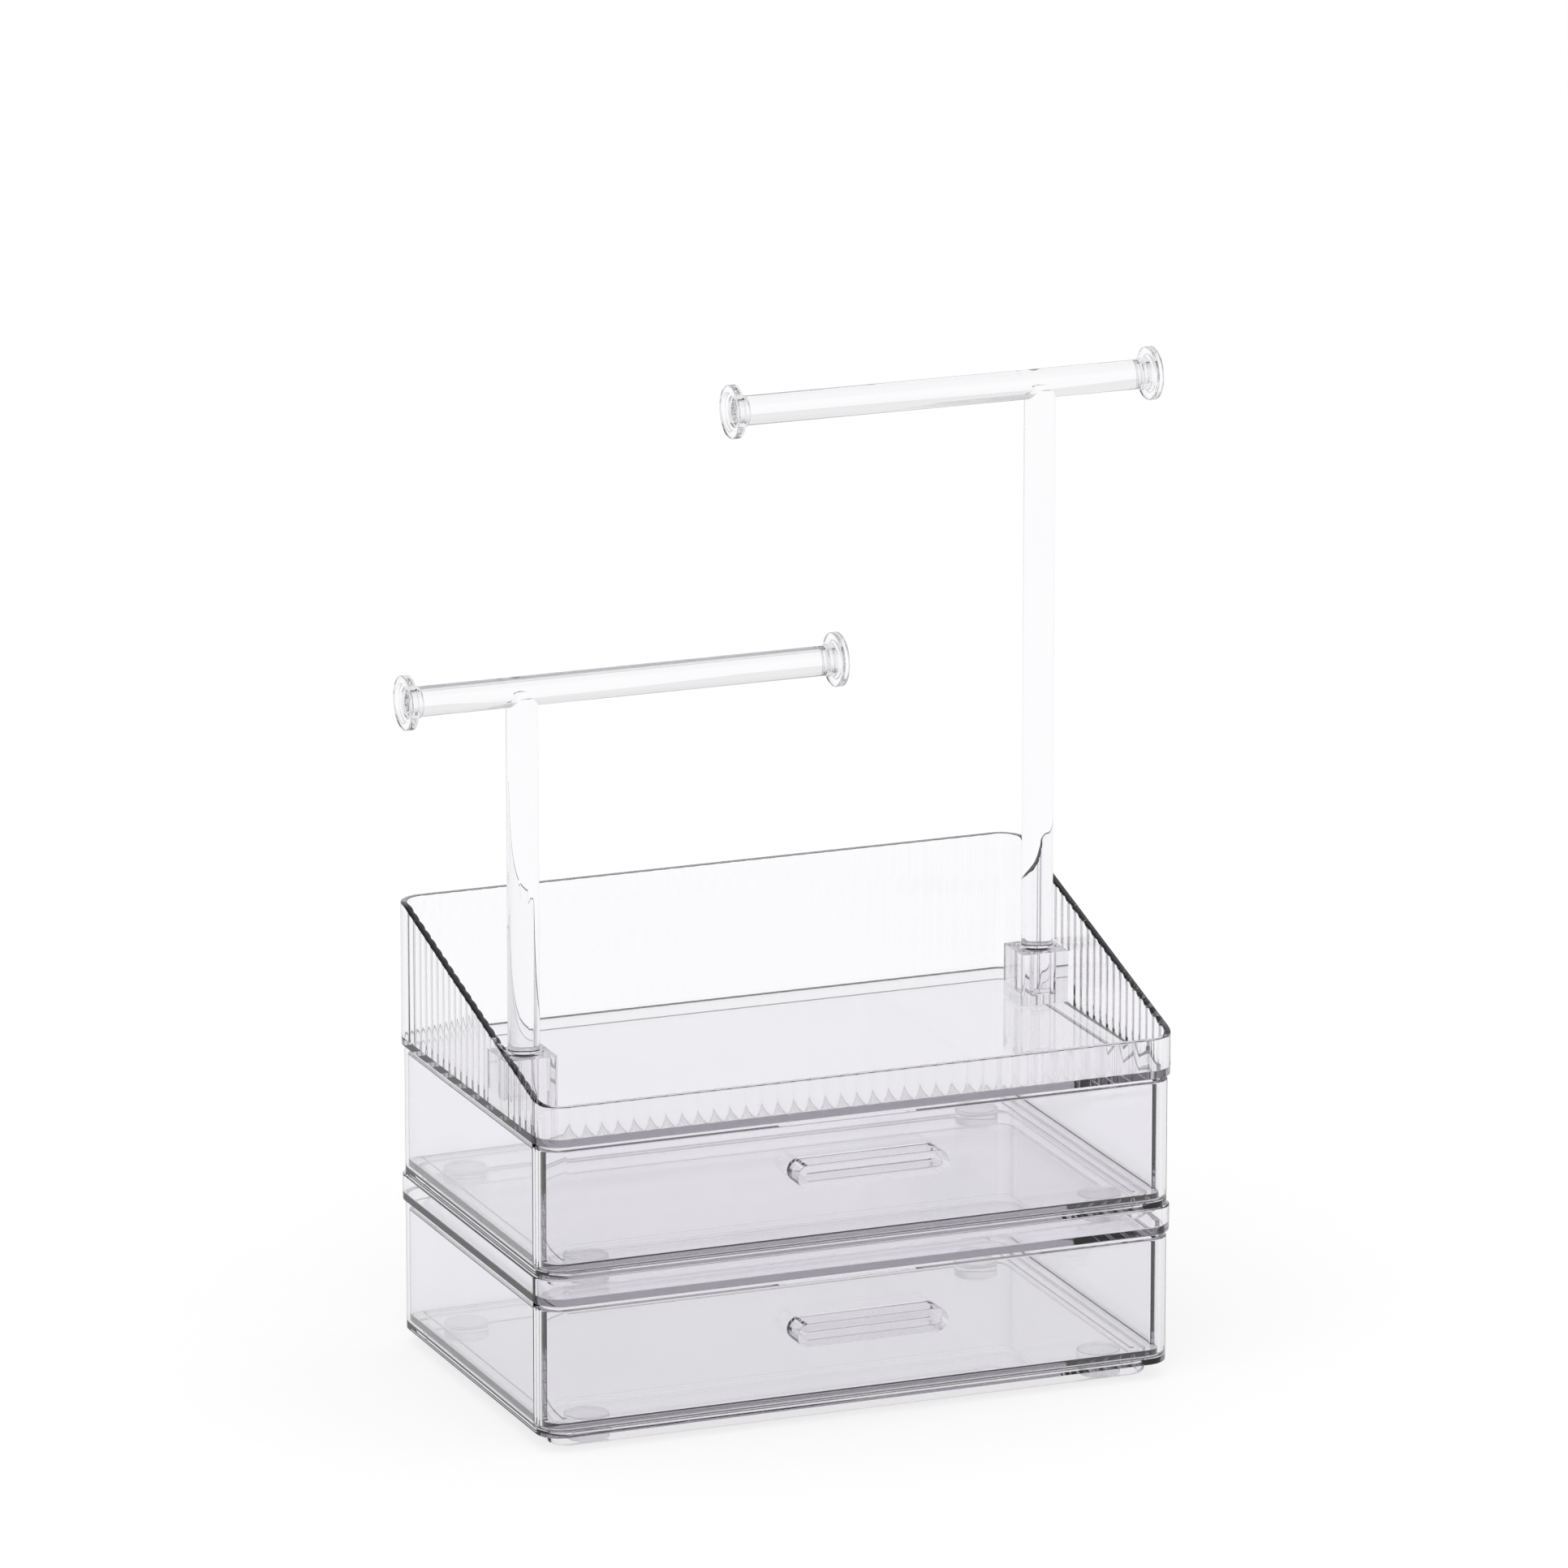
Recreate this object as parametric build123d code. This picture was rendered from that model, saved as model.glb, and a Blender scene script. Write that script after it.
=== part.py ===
from build123d import *
import os
from math import sqrt

# A clear plastic jewellery set of two stacking units. The lower unit is a drawer
# box under a low-rimmed tray. The upper unit is the same drawer box under a deep
# reeded tray with two T-shaped necklace stands. Millimetres, +Z up, front to -Y.
# The origin is on the table under the centre of the whole set's outline.

# ---- driving dimensions -------------------------------------------------------
TRAY_WIDTH = 240.0          # X, outside of both trays
TRAY_DEPTH = 148.0          # Y
TRAY_CORNER = 10.0          # outer radius of the trays' upright corners
TRAY_WALL = 2.2
TRAY_FLOOR = 2.3
RIM_HEIGHT = 9.65           # lower tray, underside to rim
REEDED_FRONT = 14.35        # upper tray, underside to the top of its front wall
REEDED_BACK = 52.25         # upper tray, underside to the top of its back wall
SLOPE_START = 70.0          # distance ahead of centre where the side wall starts to climb
SLOPE_END = 64.5            # distance behind centre where it reaches the back wall
SLOPE_FOOT_RADIUS = 12.0
SLOPE_HEAD_RADIUS = 16.0

REED_PITCH = 5.9            # nominal; each wall takes a whole number of reeds
REED_HEIGHT = 0.45
REEDED_WALL = 2.5           # plain wall behind the reeds

BODY_INSET = 1.0            # the boxes are this much smaller than the trays, all round
BODY_WALL = 2.4
BASE_PLATE = 2.2
BOX_HEIGHT = 47.95          # underside of the base plate to the top of the walls

FOOT_INSET = 6.0            # foot rim, in from the body
FOOT_WALL = 2.4
FOOT_RIM = 5.2              # height of the foot rim under the base plate
FOOT_EASE = 1.2             # rounding of its lower outer edge
PAD_DIAMETER = 15.6
PAD_PROUD = 0.4             # the pads stand this much below the foot rim
PAD_X = 97.0
PAD_Y = 56.0

RUNNER_X = 107.4            # the two ribs that the drawer slides on
RUNNER_WIDTH = 1.3
RUNNER_HEIGHT = 0.4
RUNNER_FRONT = 62.0

FRONT_PANEL = 2.7           # drawer front
FRONT_GAP = 0.2             # below the drawer front
FRONT_CLEARANCE = 1.85      # over the drawer front, up to the top of the walls
TUB_WALL = 1.9
TUB_FLOOR = 2.1
TUB_TOP_GAP = 1.6           # tub walls stop this much below the top of the front
TUB_BACK_GAP = 0.6
RETURN_LENGTH = 1.4         # straight part of the drawer front after it turns the corner

HANDLE_LENGTH = 57.0
HANDLE_HEIGHT = 8.7
HANDLE_WALL = 2.8
HANDLE_REACH = 10.2         # stands out from the drawer front
HANDLE_DROP = 16.1          # top of the drawer front to the handle's centre line

SOCKET_X = 109.0            # centres of the stand sockets, left-front and right-back
SOCKET_Y = 28.3
SOCKET_INNER_REACH = 9.5    # block, from the post's axis towards the tray's middle
SOCKET_DEPTH = 17.8         # block, along Y
SOCKET_HEIGHT = 19.05
SOCKET_CORNER = 1.2
PEG_DIAMETER = 8.2
PEG_LENGTH = 15.6
PEG_CLEARANCE = 0.1         # radial
COLLAR_DIAMETER = 14.0
COLLAR_HEIGHT = 1.1

POST_DIAMETER = 11.3
BAR_DIAMETER = 10.6
SHORT_BAR_HEIGHT = 204.9    # bar axis above the foot of its own unit
TALL_BAR_HEIGHT = 282.4
BAR_SHORT_ARM = 42.4        # post axis to the middle of the near end flange
BAR_LONG_ARM = 117.0
SADDLE_DROP = 1.5           # the post's coped top stops this far below the bar's axis
FLANGE_DIAMETER = 19.2
FLANGE_THICKNESS = 3.0
NECK_DIAMETER = 11.4
NECK_LENGTH = 3.0
SPIGOT_DIAMETER = 7.4
SPIGOT_LENGTH = 4.0
MOUTH_DIAMETER = 13.6       # shallow dish in the outer face of each end flange
MOUTH_DEPTH = 1.1

GLUE_GAP = 0.05             # bond line between glued faces
STACK_GAP = 0.1             # base plate of the upper unit over the lower tray's rim

# ---- levels, measured up from the foot of each unit ---------------------------
FOOT_Z = PAD_PROUD
BASE_Z = FOOT_Z + FOOT_RIM
BASE_TOP_Z = BASE_Z + BASE_PLATE
BOX_TOP_Z = BASE_Z + BOX_HEIGHT
TRAY_Z = BOX_TOP_Z + GLUE_GAP
TRAY_FLOOR_Z = TRAY_Z + TRAY_FLOOR
RIM_Z = TRAY_Z + RIM_HEIGHT
FRONT_LOW_Z = BASE_TOP_Z + FRONT_GAP
FRONT_TOP_Z = BOX_TOP_Z - FRONT_CLEARANCE
TUB_Z = BASE_TOP_Z + RUNNER_HEIGHT + PEG_CLEARANCE
SOCKET_Z = TRAY_FLOOR_Z + GLUE_GAP
SOCKET_TOP_Z = SOCKET_Z + SOCKET_HEIGHT
UPPER_Z = RIM_Z + STACK_GAP - BASE_Z      # foot of the upper unit, stacked

BODY_WIDTH = TRAY_WIDTH - 2 * BODY_INSET
BODY_DEPTH = TRAY_DEPTH - 2 * BODY_INSET
BODY_CORNER = TRAY_CORNER - BODY_INSET
FRONT_CORNER_Y = -BODY_DEPTH / 2 + BODY_CORNER        # where the front starts to turn
FRONT_END_Y = FRONT_CORNER_Y + RETURN_LENGTH

# The handles stand out in front, so the outline's centre is ahead of the boxes'.
BOX_CENTRE_Y = (HANDLE_REACH - BODY_INSET) / 2


def place(shape, foot_z):
    """Move a piece from its unit's own frame to its place in the set."""
    return Pos(0, BOX_CENTRE_Y, foot_z) * shape


def slab(width, depth, corner, low, high):
    """Upright plate with rounded corners, between two levels."""
    return Pos(0, 0, low) * extrude(RectangleRounded(width, depth, corner), high - low)


def block(x0, x1, y0, y1, z0, z1):
    """Square-edged box between two corners."""
    return Pos((x0 + x1) / 2, (y0 + y1) / 2, (z0 + z1) / 2) * Box(x1 - x0, y1 - y0, z1 - z0)


def rod(x, y, low, high, diameter):
    """Upright round rod."""
    return Pos(x, y, (low + high) / 2) * Cylinder(diameter / 2, high - low)


def rod_x(x0, x1, y, z, diameter):
    """Round rod along X."""
    return Pos((x0 + x1) / 2, y, z) * Rot(0, 90, 0) * Cylinder(diameter / 2, abs(x1 - x0))


# ---- drawer box: base plate and three walls; the tray on top closes it --------
def housing():
    outer = slab(BODY_WIDTH, BODY_DEPTH, BODY_CORNER, BASE_Z, BOX_TOP_Z)
    inner = slab(BODY_WIDTH - 2 * BODY_WALL, BODY_DEPTH - 2 * BODY_WALL,
                 BODY_CORNER - BODY_WALL, BASE_TOP_Z, BOX_TOP_Z)
    mouth = block(-BODY_WIDTH, BODY_WIDTH, -BODY_DEPTH, FRONT_END_Y + FRONT_GAP,
                  BASE_TOP_Z, BOX_TOP_Z)
    foot_width = BODY_WIDTH - 2 * FOOT_INSET
    foot_depth = BODY_DEPTH - 2 * FOOT_INSET
    foot_corner = BODY_CORNER - FOOT_INSET + FOOT_WALL + 2 * FOOT_EASE
    foot = slab(foot_width, foot_depth, foot_corner, FOOT_Z, BASE_Z)
    foot = fillet(foot.edges().group_by(Axis.Z)[0], FOOT_EASE)
    foot -= slab(foot_width - 2 * FOOT_WALL, foot_depth - 2 * FOOT_WALL,
                 foot_corner - FOOT_WALL, FOOT_Z, BASE_Z)
    body = outer - inner - mouth + foot
    for side in (-1, 1):
        body += block(side * RUNNER_X - RUNNER_WIDTH / 2, side * RUNNER_X + RUNNER_WIDTH / 2,
                      -RUNNER_FRONT, BODY_DEPTH / 2 - BODY_WALL,
                      BASE_TOP_Z, BASE_TOP_Z + RUNNER_HEIGHT)
    return body


# ---- four silicone pads under the base plate ----------------------------------
def pads():
    return [rod(sx * PAD_X, sy * PAD_Y, 0, BASE_Z, PAD_DIAMETER)
            for sx in (-1, 1) for sy in (-1, 1)]


# ---- drawer: tub, front panel and handle --------------------------------------
def drawer_tub():
    half_depth = BODY_DEPTH / 2
    width = BODY_WIDTH - 2 * (FRONT_PANEL + FRONT_GAP / 2)
    front_y = -half_depth + FRONT_PANEL + FRONT_GAP / 2
    back_y = half_depth - BODY_WALL - TUB_BACK_GAP
    corner = BODY_CORNER - FRONT_PANEL - FRONT_GAP / 2
    top_z = FRONT_TOP_Z - TUB_TOP_GAP
    middle = Pos(0, (front_y + back_y) / 2, 0)
    outer = middle * slab(width, back_y - front_y, corner, TUB_Z, top_z)
    inner = middle * slab(width - 2 * TUB_WALL, back_y - front_y - 2 * TUB_WALL,
                          corner - TUB_WALL, TUB_Z + TUB_FLOOR, top_z)
    open_front = block(-width, width, front_y - 1, front_y + corner, TUB_Z + TUB_FLOOR, top_z)
    return outer - inner - open_front


def drawer_front():
    shell = slab(BODY_WIDTH, BODY_DEPTH, BODY_CORNER, FRONT_LOW_Z, FRONT_TOP_Z)
    shell -= slab(BODY_WIDTH - 2 * FRONT_PANEL, BODY_DEPTH - 2 * FRONT_PANEL,
                  BODY_CORNER - FRONT_PANEL, FRONT_LOW_Z, FRONT_TOP_Z)
    behind = block(-BODY_WIDTH, BODY_WIDTH, FRONT_END_Y, BODY_DEPTH, FRONT_LOW_Z, FRONT_TOP_Z)
    return shell - behind


def drawer_handle():
    face_y = -BODY_DEPTH / 2 - GLUE_GAP
    ring = SlotOverall(HANDLE_LENGTH, HANDLE_HEIGHT)
    ring -= SlotOverall(HANDLE_LENGTH - 2 * HANDLE_WALL, HANDLE_HEIGHT - 2 * HANDLE_WALL)
    pull = extrude(Plane.XZ * ring, HANDLE_REACH - GLUE_GAP)
    return Pos(0, face_y, FRONT_TOP_Z - HANDLE_DROP) * pull


# ---- lower tray: a low plain rim that the upper unit's foot drops into --------
def plain_tray():
    tray = slab(TRAY_WIDTH, TRAY_DEPTH, TRAY_CORNER, TRAY_Z, RIM_Z)
    return tray - slab(TRAY_WIDTH - 2 * TRAY_WALL, TRAY_DEPTH - 2 * TRAY_WALL,
                       TRAY_CORNER - TRAY_WALL, TRAY_FLOOR_Z, RIM_Z)


# ---- upper tray: reeded inside, low in front, high behind ---------------------
def reed_run(start, end, inward):
    """Arcs of whole reeds along a straight wall, bulging towards the inside."""
    run = end - start
    count = round(run.length / REED_PITCH)
    step = run * (1 / count)
    bulge = inward * REED_HEIGHT
    arcs = []
    for i in range(count):
        a = start + step * i
        arcs.append(ThreePointArc(a, a + step * 0.5 + bulge, a + step))
    return arcs


def reeded_outline():
    """Inner outline of the reeded wall: reeds on the flats, plain arcs in the corners."""
    x = TRAY_WIDTH / 2 - REEDED_WALL
    y = TRAY_DEPTH / 2 - REEDED_WALL
    flat_x = TRAY_WIDTH / 2 - TRAY_CORNER
    flat_y = TRAY_DEPTH / 2 - TRAY_CORNER
    mid = (TRAY_CORNER - REEDED_WALL) / sqrt(2)
    edges = []
    edges += reed_run(Vector(-flat_x, -y), Vector(flat_x, -y), Vector(0, 1))
    edges += [ThreePointArc((flat_x, -y), (flat_x + mid, -flat_y - mid), (x, -flat_y))]
    edges += reed_run(Vector(x, -flat_y), Vector(x, flat_y), Vector(-1, 0))
    edges += [ThreePointArc((x, flat_y), (flat_x + mid, flat_y + mid), (flat_x, y))]
    edges += reed_run(Vector(flat_x, y), Vector(-flat_x, y), Vector(0, -1))
    edges += [ThreePointArc((-flat_x, y), (-flat_x - mid, flat_y + mid), (-x, flat_y))]
    edges += reed_run(Vector(-x, flat_y), Vector(-x, -flat_y), Vector(1, 0))
    edges += [ThreePointArc((-x, -flat_y), (-flat_x - mid, -flat_y - mid), (-flat_x, -y))]
    return make_face(edges)


def slope_profile():
    """Side view of the upper tray, extruded over its whole width."""
    front_z = TRAY_Z + REEDED_FRONT
    back_z = TRAY_Z + REEDED_BACK
    path = FilletPolyline(
        (-TRAY_DEPTH, front_z), (-SLOPE_START, front_z),
        (SLOPE_END, back_z), (TRAY_DEPTH, back_z),
        radius=[SLOPE_FOOT_RADIUS, SLOPE_HEAD_RADIUS])
    below = Polyline((TRAY_DEPTH, back_z), (TRAY_DEPTH, 0), (-TRAY_DEPTH, 0),
                     (-TRAY_DEPTH, front_z))
    face = Plane.YZ * make_face(path.edges() + below.edges())
    return extrude(face, TRAY_WIDTH, both=True)


def reeded_tray():
    top = TRAY_Z + REEDED_BACK
    tray = slab(TRAY_WIDTH, TRAY_DEPTH, TRAY_CORNER, TRAY_Z, top)
    hollow = Pos(0, 0, TRAY_FLOOR_Z) * extrude(reeded_outline(), top - TRAY_FLOOR_Z)
    tray = (tray - hollow) & slope_profile()
    for side in (-1, 1):
        tray -= socket_envelope(side, GLUE_GAP)
    return tray


# ---- stand sockets: square blocks on the tray floor, against the side walls ---
def socket_envelope(side, spare):
    """The block's box, grown by the bond line on the sides that the reeds meet."""
    inner_x = side * (SOCKET_X - SOCKET_INNER_REACH)
    outer_x = side * (TRAY_WIDTH / 2 - REEDED_WALL - GLUE_GAP + spare)
    half_y = SOCKET_DEPTH / 2 + spare
    return block(min(inner_x, outer_x), max(inner_x, outer_x),
                 side * SOCKET_Y - half_y, side * SOCKET_Y + half_y,
                 SOCKET_Z - spare, SOCKET_TOP_Z + spare)


def stand_socket(side):
    body = socket_envelope(side, 0)
    inner_edges = body.edges().filter_by(Axis.Z).sort_by(Axis.X)
    inner_edges = inner_edges[:2] if side > 0 else inner_edges[2:]
    body = fillet(inner_edges, SOCKET_CORNER)
    bore = rod(side * SOCKET_X, side * SOCKET_Y, SOCKET_TOP_Z - PEG_LENGTH - 0.5,
               SOCKET_TOP_Z + 1, PEG_DIAMETER + 2 * PEG_CLEARANCE)
    return body - bore


def stand_collar(side):
    x, y = side * SOCKET_X, side * SOCKET_Y
    low = SOCKET_TOP_Z + GLUE_GAP
    ring = rod(x, y, low, low + COLLAR_HEIGHT, COLLAR_DIAMETER)
    ring = chamfer(ring.edges().group_by(Axis.Z)[-1], 0.4)
    return ring - rod(x, y, low - 1, low + COLLAR_HEIGHT + 1,
                      POST_DIAMETER + 2 * PEG_CLEARANCE)


# ---- T stands: post with a peg, bar, and a flanged cap on each end ------------
def stand_post(side, bar_z):
    x, y = side * SOCKET_X, side * SOCKET_Y
    shoulder = SOCKET_TOP_Z + GLUE_GAP
    post = rod(x, y, shoulder, bar_z - SADDLE_DROP, POST_DIAMETER)
    post -= rod_x(x - POST_DIAMETER, x + POST_DIAMETER, y, bar_z, BAR_DIAMETER + 2 * GLUE_GAP)
    return post + rod(x, y, SOCKET_TOP_Z - PEG_LENGTH, shoulder, PEG_DIAMETER)


def flange_middles(side):
    """X of the middle of the near and far end flanges."""
    x = side * SOCKET_X
    return x + side * BAR_SHORT_ARM, x - side * BAR_LONG_ARM


def stand_bar(side, bar_z):
    y = side * SOCKET_Y
    near, far = flange_middles(side)
    low, high = min(near, far), max(near, far)
    butt = FLANGE_THICKNESS / 2 + NECK_LENGTH + GLUE_GAP
    bar = rod_x(low + butt, high - butt, y, bar_z, BAR_DIAMETER)
    return bar + rod_x(low + butt - SPIGOT_LENGTH, high - butt + SPIGOT_LENGTH, y, bar_z,
                       SPIGOT_DIAMETER)


def bar_cap(side, bar_z, middle, outward):
    y = side * SOCKET_Y
    half = outward * FLANGE_THICKNESS / 2
    disc = rod_x(middle - half, middle + half, y, bar_z, FLANGE_DIAMETER)
    disc = fillet(disc.edges().filter_by(GeomType.CIRCLE), 0.5)
    neck = rod_x(middle - half - outward * NECK_LENGTH, middle, y, bar_z, NECK_DIAMETER)
    reach = outward * FLANGE_DIAMETER
    bore = rod_x(middle - reach, middle + reach, y, bar_z, SPIGOT_DIAMETER + 2 * PEG_CLEARANCE)
    dish = rod_x(middle + half - outward * MOUTH_DEPTH, middle + reach, y, bar_z, MOUTH_DIAMETER)
    return disc + neck - bore - dish


# ---- build and write every piece ----------------------------------------------
def write(name, shape):
    shape.label = name
    export_step(shape, f"parts/{name}.step")


os.makedirs("parts", exist_ok=True)

for unit, foot_z in (("lower", 0.0), ("upper", UPPER_Z)):
    write(f"{unit}_housing", place(housing(), foot_z))
    write(f"{unit}_pads", Compound(children=[place(pad, foot_z) for pad in pads()]))
    write(f"{unit}_drawer_tub", place(drawer_tub(), foot_z))
    write(f"{unit}_drawer_front", place(drawer_front(), foot_z))
    write(f"{unit}_drawer_handle", place(drawer_handle(), foot_z))

write("lower_tray", place(plain_tray(), 0.0))
write("upper_tray", place(reeded_tray(), UPPER_Z))

for stand, side, bar_z in (("short", -1, SHORT_BAR_HEIGHT), ("tall", 1, TALL_BAR_HEIGHT)):
    near_x, far_x = flange_middles(side)
    write(f"{stand}_stand_socket", place(stand_socket(side), UPPER_Z))
    write(f"{stand}_stand_collar", place(stand_collar(side), UPPER_Z))
    write(f"{stand}_stand_post", place(stand_post(side, bar_z), UPPER_Z))
    write(f"{stand}_stand_bar", place(stand_bar(side, bar_z), UPPER_Z))
    write(f"{stand}_near_cap", place(bar_cap(side, bar_z, near_x, side), UPPER_Z))
    write(f"{stand}_far_cap", place(bar_cap(side, bar_z, far_x, -side), UPPER_Z))
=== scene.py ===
import bpy
import bmesh
from math import cos, hypot, pi, radians, sin, sqrt
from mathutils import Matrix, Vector


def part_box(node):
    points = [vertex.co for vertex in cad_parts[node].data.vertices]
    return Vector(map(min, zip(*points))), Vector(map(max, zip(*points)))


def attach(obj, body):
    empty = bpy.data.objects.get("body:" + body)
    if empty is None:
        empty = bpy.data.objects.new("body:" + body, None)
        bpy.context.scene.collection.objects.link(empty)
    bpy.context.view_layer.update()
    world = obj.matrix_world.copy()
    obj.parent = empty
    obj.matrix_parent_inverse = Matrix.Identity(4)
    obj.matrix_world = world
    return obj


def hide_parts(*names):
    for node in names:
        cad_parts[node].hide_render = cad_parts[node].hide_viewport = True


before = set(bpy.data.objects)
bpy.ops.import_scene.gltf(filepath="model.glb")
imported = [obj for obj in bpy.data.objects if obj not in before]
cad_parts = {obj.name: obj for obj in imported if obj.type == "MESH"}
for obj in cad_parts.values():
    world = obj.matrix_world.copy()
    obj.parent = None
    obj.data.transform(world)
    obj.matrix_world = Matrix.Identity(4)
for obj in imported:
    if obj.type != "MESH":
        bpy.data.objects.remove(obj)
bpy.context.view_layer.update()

# ---- Camera -------------------------------------------------------------------
# A long lens well back from the set, a little to its left and above, so that the
# drawer fronts and the left ends show. Place and lens come from the photograph.
LOOK_DOWN, LOOK_RIGHT = 15.179, 21.949      # degrees
LENS, SENSOR = 271.57, 36
FARTHEST = 100


def placed(name, data):
    """A new object in the scene."""
    made = bpy.data.objects.new(name, data)
    bpy.context.scene.collection.objects.link(made)
    return made


camera = placed("camera", bpy.data.cameras.new("camera"))
camera.location = (-1.4993, -3.7155, 1.2995)
camera.rotation_euler = (radians(90 - LOOK_DOWN), 0, radians(-LOOK_RIGHT))
camera.data.sensor_width = SENSOR
camera.data.lens = LENS
camera.data.clip_end = FARTHEST
bpy.context.scene.camera = camera


# ---- Studio floor -------------------------------------------------------------
# A white sweep that the set stands on. It glows a little under its own paint, as a
# lit sweep does, so it shows white and still takes a faint shadow. Rays that have
# been mirrored see it a little dimmer, as they see the rest of the studio.
class Wire:
    """A socket in a node tree. Arithmetic on it adds Math nodes."""

    def __init__(self, tree, socket=None):
        self.tree, self.socket = tree, socket

    def node(self, kind, settings=None, inputs=None, out=0):
        """Any node: its settings first, then the values or wires of its inputs."""
        made = self.tree.nodes.new(kind)
        for key, value in (settings or {}).items():
            setattr(made, key, value)
        for key, value in (inputs or {}).items():
            if isinstance(value, Wire):
                self.tree.links.new(value.socket, made.inputs[key])
            else:
                made.inputs[key].default_value = value
        return Wire(self.tree, made.outputs[out] if made.outputs else None)

    def also(self, out):
        """Another output of the same node."""
        return Wire(self.tree, self.socket.node.outputs[out])

    def maths(self, operation, other=0.0, swap=False):
        first, second = (other, self) if swap else (self, other)
        return self.node("ShaderNodeMath", {"operation": operation}, {0: first, 1: second})

    def __add__(self, other):
        return self.maths("ADD", other)

    def __mul__(self, other):
        return self.maths("MULTIPLY", other)

    def __sub__(self, other):
        return self.maths("SUBTRACT", other)

    def __rsub__(self, other):
        return self.maths("SUBTRACT", other, swap=True)

    __radd__, __rmul__ = __add__, __mul__


def new_tree(owner):
    """The emptied node tree of a material or world."""
    owner.use_nodes = True
    owner.node_tree.nodes.clear()
    return Wire(owner.node_tree)


FLOOR_REACH = 7.0
FLOOR_DROP = 0.0003
GLOW_SHARE = 0.72
GLOW_LEVEL, GLOW_MOTTLE = 1.04, 0.01
MIRRORED_DIMMING = 0.14
sweep_paint = bpy.data.materials.new("sweep_paint")
tree = new_tree(sweep_paint)
place = tree.node("ShaderNodeTexCoord", out="Object")
mottle = place.node("ShaderNodeTexNoise", None, {"Vector": place, "Scale": 3.0}, "Fac")
paint = tree.node("ShaderNodeBsdfDiffuse", None,
                  {"Color": (0.86, 0.86, 0.87, 1), "Roughness": 0.6})
mirrored = tree.node("ShaderNodeLightPath", out="Glossy Depth").maths("MINIMUM", 1.0)
brightness = (mottle * GLOW_MOTTLE + GLOW_LEVEL) * (1 - mirrored * MIRRORED_DIMMING)
glow = tree.node("ShaderNodeEmission", None,
                 {"Color": (1.0, 1.0, 1.0, 1), "Strength": brightness})
tree.node("ShaderNodeOutputMaterial", None, {"Surface": tree.node(
    "ShaderNodeMixShader", None, {0: GLOW_SHARE, 1: paint, 2: glow})})
sweep_paint.cycles.emission_sampling = "NONE"

sweep = bpy.data.meshes.new("floor")
sweep.from_pydata([(x * FLOOR_REACH, y * FLOOR_REACH, -FLOOR_DROP)
                   for x, y in ((-1, -1), (1, -1), (1, 1), (-1, 1))], [], [(0, 1, 2, 3)])
sweep.materials.append(sweep_paint)
placed("floor", sweep)

# ---- Studio light -------------------------------------------------------------
# A white surround, which is what shows through the clear plastic, with a faint grey
# flag up at each end and a dark ceiling, which draws the dark lines on its edges. Seen
# through the plastic or in it, it is a little dimmer. Two soft lamps light the rest.
FLAG_FROM, FLAG_TO = 0.5, 0.68          # a flag's fade, on the sideways part of a direction
FLAG_FOOT, FLAG_LOW = 0.04, 0.16        # and on the upward part
FLAG_SHADE = 0.25
CEILING_FROM, CEILING_TO = 0.63, 0.79   # the ceiling's fade, on the upward part
CEILING_SHADE = 0.95
SURROUND_LEVEL = 0.86
LAMP_SIZE = 1.8
LAMP_AIM = Vector((0, 0, 0.15))
BOUNCES = 20        # light crosses that many clear faces on its way through both drawers

world = bpy.data.worlds.new("studio")
bpy.context.scene.world = world
tree = new_tree(world)
sight = tree.node("ShaderNodeTexCoord", out="Generated")
way = tree.node("ShaderNodeSeparateXYZ", None, {0: sight}, "X")


def ramp(value, low, high):
    """0 below low, 1 above high, smooth between."""
    return value.node("ShaderNodeMapRange", {"interpolation_type": "SMOOTHSTEP"},
                      {"Value": value, "From Min": low, "From Max": high})


sideways, upward = way.maths("ABSOLUTE"), way.also("Z")
flag = ramp(sideways, FLAG_FROM, FLAG_TO) * ramp(upward, FLAG_FOOT, FLAG_LOW)
ceiling = ramp(upward, CEILING_FROM, CEILING_TO)
shade = (flag * FLAG_SHADE).maths("MAXIMUM", ceiling * CEILING_SHADE)
ray = tree.node("ShaderNodeLightPath", out="Is Camera Ray")
open_air = ray.maths("MAXIMUM", ray.also("Diffuse Depth").maths("MINIMUM", 1.0))
dimmed = (1 - shade) * SURROUND_LEVEL
tree.node("ShaderNodeOutputWorld", None, {"Surface": tree.node(
    "ShaderNodeBackground", None,
    {"Color": (1, 1, 1, 1), "Strength": 1 - (1 - open_air) * (1 - dimmed)})})

for name, place, watts in (("key_lamp", (-0.9, -1.0, 2.4), 8.0),
                           ("fill_lamp", (1.0, 0.6, 2.4), 5.0)):
    lamp = placed(name, bpy.data.lights.new(name, "AREA"))
    lamp.data.size = LAMP_SIZE
    lamp.data.energy = watts
    lamp.location = place
    lamp.rotation_euler = (LAMP_AIM - Vector(place)).to_track_quat("-Z", "Y").to_euler()
    lamp.visible_camera = False
    lamp.visible_transmission = False
    lamp.visible_glossy = False

cycles = bpy.context.scene.cycles
cycles.max_bounces = cycles.transmission_bounces = cycles.glossy_bounces = BOUNCES
bpy.context.scene.view_settings.view_transform = "Standard"


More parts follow.
